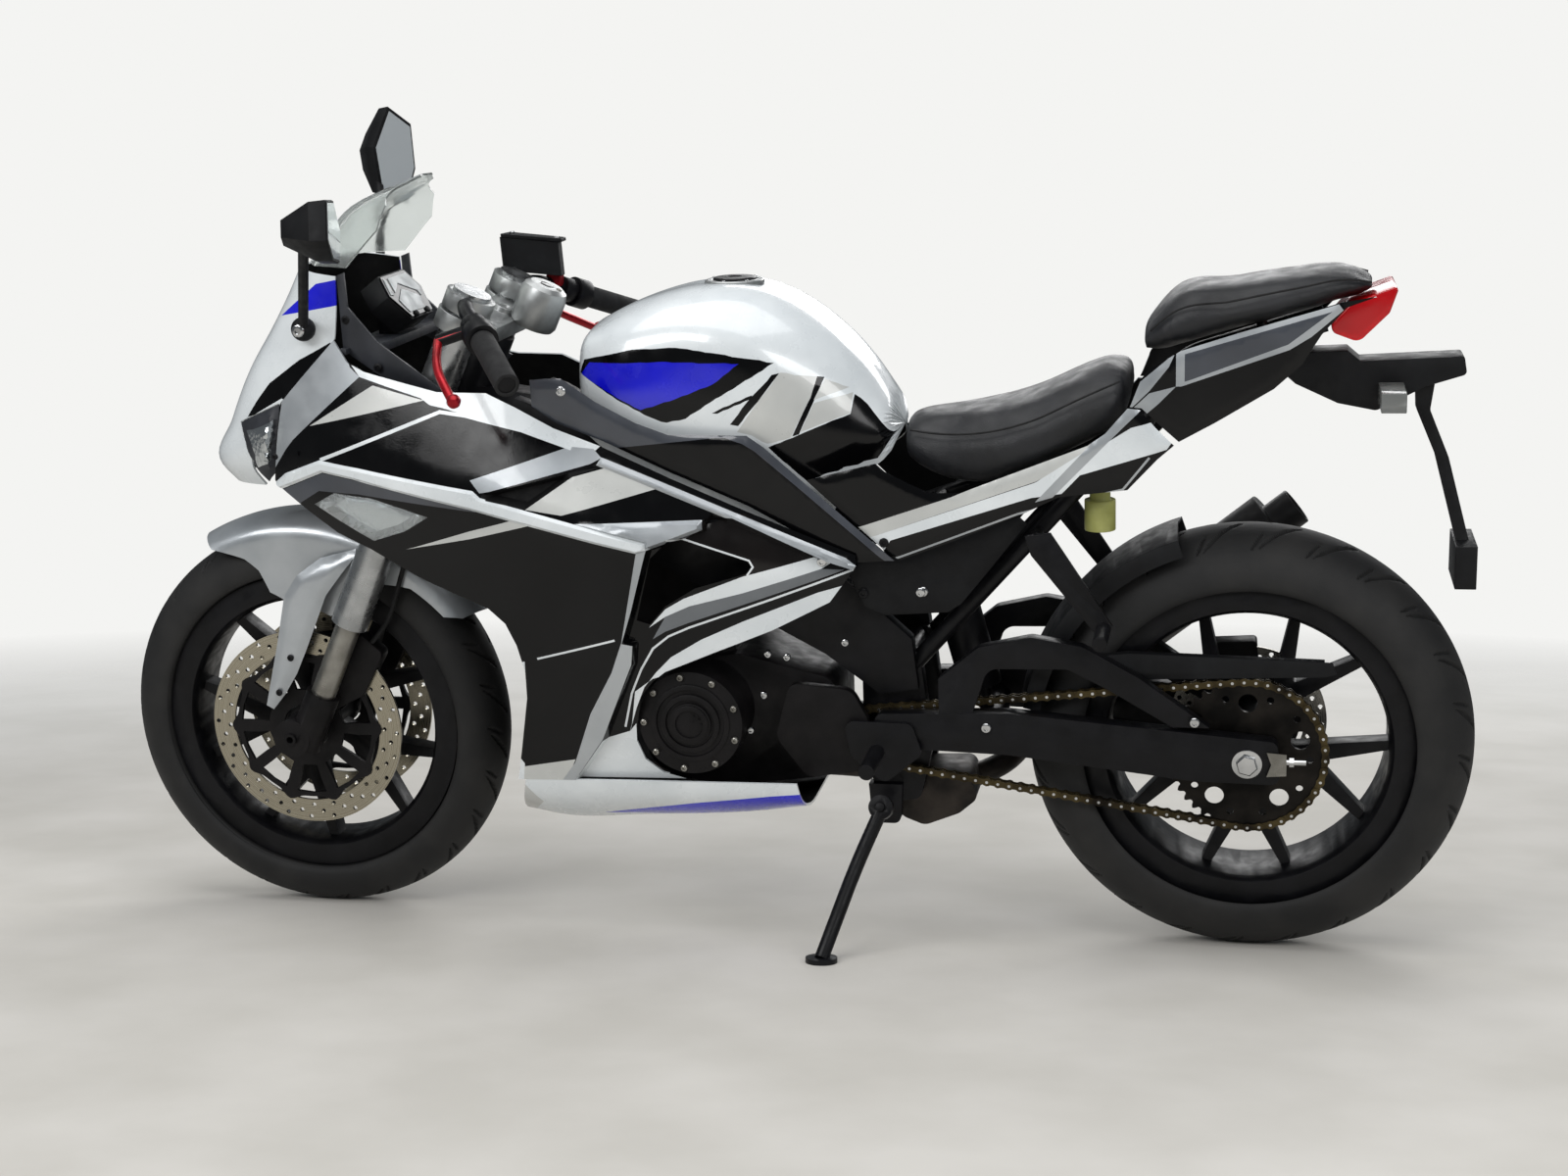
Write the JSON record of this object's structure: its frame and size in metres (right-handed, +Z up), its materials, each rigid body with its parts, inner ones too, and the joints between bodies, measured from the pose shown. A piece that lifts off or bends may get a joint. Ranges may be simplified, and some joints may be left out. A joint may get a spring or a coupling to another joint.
{
  "type": "sport bike with full fairing",
  "caption": "Full-fairing road sport bike leaning on its side stand, with steering fork, free-turning wheels and a folding stand",
  "frame": {"origin": "on the ground under the middle of the bike's box", "axes": "+X to the rear, +Y to the rider's right, +Z up; the bike leans to -Y on its side stand"},
  "size_m": [1.9807, 0.7701, 1.2244],
  "materials": {
    "aluminium": "satin",
    "black_paint": "gloss",
    "chrome": "polished",
    "clear": "clear",
    "grey_trim": "satin",
    "red_lens": "gloss",
    "rubber": "matte",
    "satin_black": "satin",
    "seat_cover": "matte",
    "steel": "brushed",
    "tyre": "matte",
    "white_paint": "gloss"
  },
  "bodies": {
    "chassis": {"belly_pan": "white_paint", "chain": "steel", "chain_guard": "grey_trim", "cockpit_trim": "grey_trim", "engine": "satin_black", "exhaust_pipe": "steel", "fluid_reservoir": "clear", "footpegs": "satin_black", "frame_covers": "black_paint", "front_cowl": "white_paint", "front_indicators": "clear", "fuel_tank": "white_paint", "headlamps": "clear", "indicators": "clear", "instrument_panel": "grey_trim", "main_frame": "satin_black", "mirrors": "grey_trim", "pillion_seat": "seat_cover", "radiator": "satin_black", "rear_caliper": "satin_black", "rear_fender": "grey_trim", "rear_hugger": "grey_trim", "rear_shock": "satin_black", "rider_seat": "seat_cover", "seat_side_panels": "white_paint", "side_fairings": "white_paint", "silencer": "satin_black", "subframe": "satin_black", "swingarm": "satin_black", "tail_lamp": "red_lens", "tail_panels": "white_paint", "tank_side_covers": "black_paint", "windscreen": "clear"},
    "fork": {"fork_tubes": "aluminium", "fork_rods": "chrome", "axle_castings": "satin_black", "triple_clamps": "aluminium", "front_fender": "black_paint", "front_caliper": "satin_black", "handlebars": "satin_black", "grips": "rubber", "controls": "satin_black", "front_hose": "rubber"},
    "front_wheel": {"front_rim": "satin_black", "front_tyre": "tyre", "front_disc": "steel"},
    "rear_wheel": {"rear_rim": "satin_black", "rear_tyre": "tyre", "rear_disc": "steel", "rear_sprocket": "steel"},
    "side_stand": {"side_stand": "satin_black"}
  },
  "joints": [
    {"name": "steering", "type": "hinge", "parent": "chassis", "child": "fork", "pos_m": [-0.41615, 0.05001, 0.78961], "axis": [0.4226, -0.1574, 0.8925], "range_deg": [-27, 27]},
    {"name": "front_wheel_spin", "type": "hinge", "parent": "fork", "child": "front_wheel", "pos_m": [-0.6945, 0.13764, 0.29263], "axis": [0, 0.9848, 0.1736], "continuous": true},
    {"name": "rear_wheel_spin", "type": "hinge", "parent": "chassis", "child": "rear_wheel", "pos_m": [0.6855, 0.13607, 0.3015], "axis": [0, 0.9848, 0.1736], "continuous": true},
    {"name": "side_stand_fold", "type": "hinge", "parent": "chassis", "child": "side_stand", "pos_m": [0.1855, 0.0198, 0.20077], "axis": [0, -0.9769, 0.2136], "range_deg": [0, 105]}
  ]
}
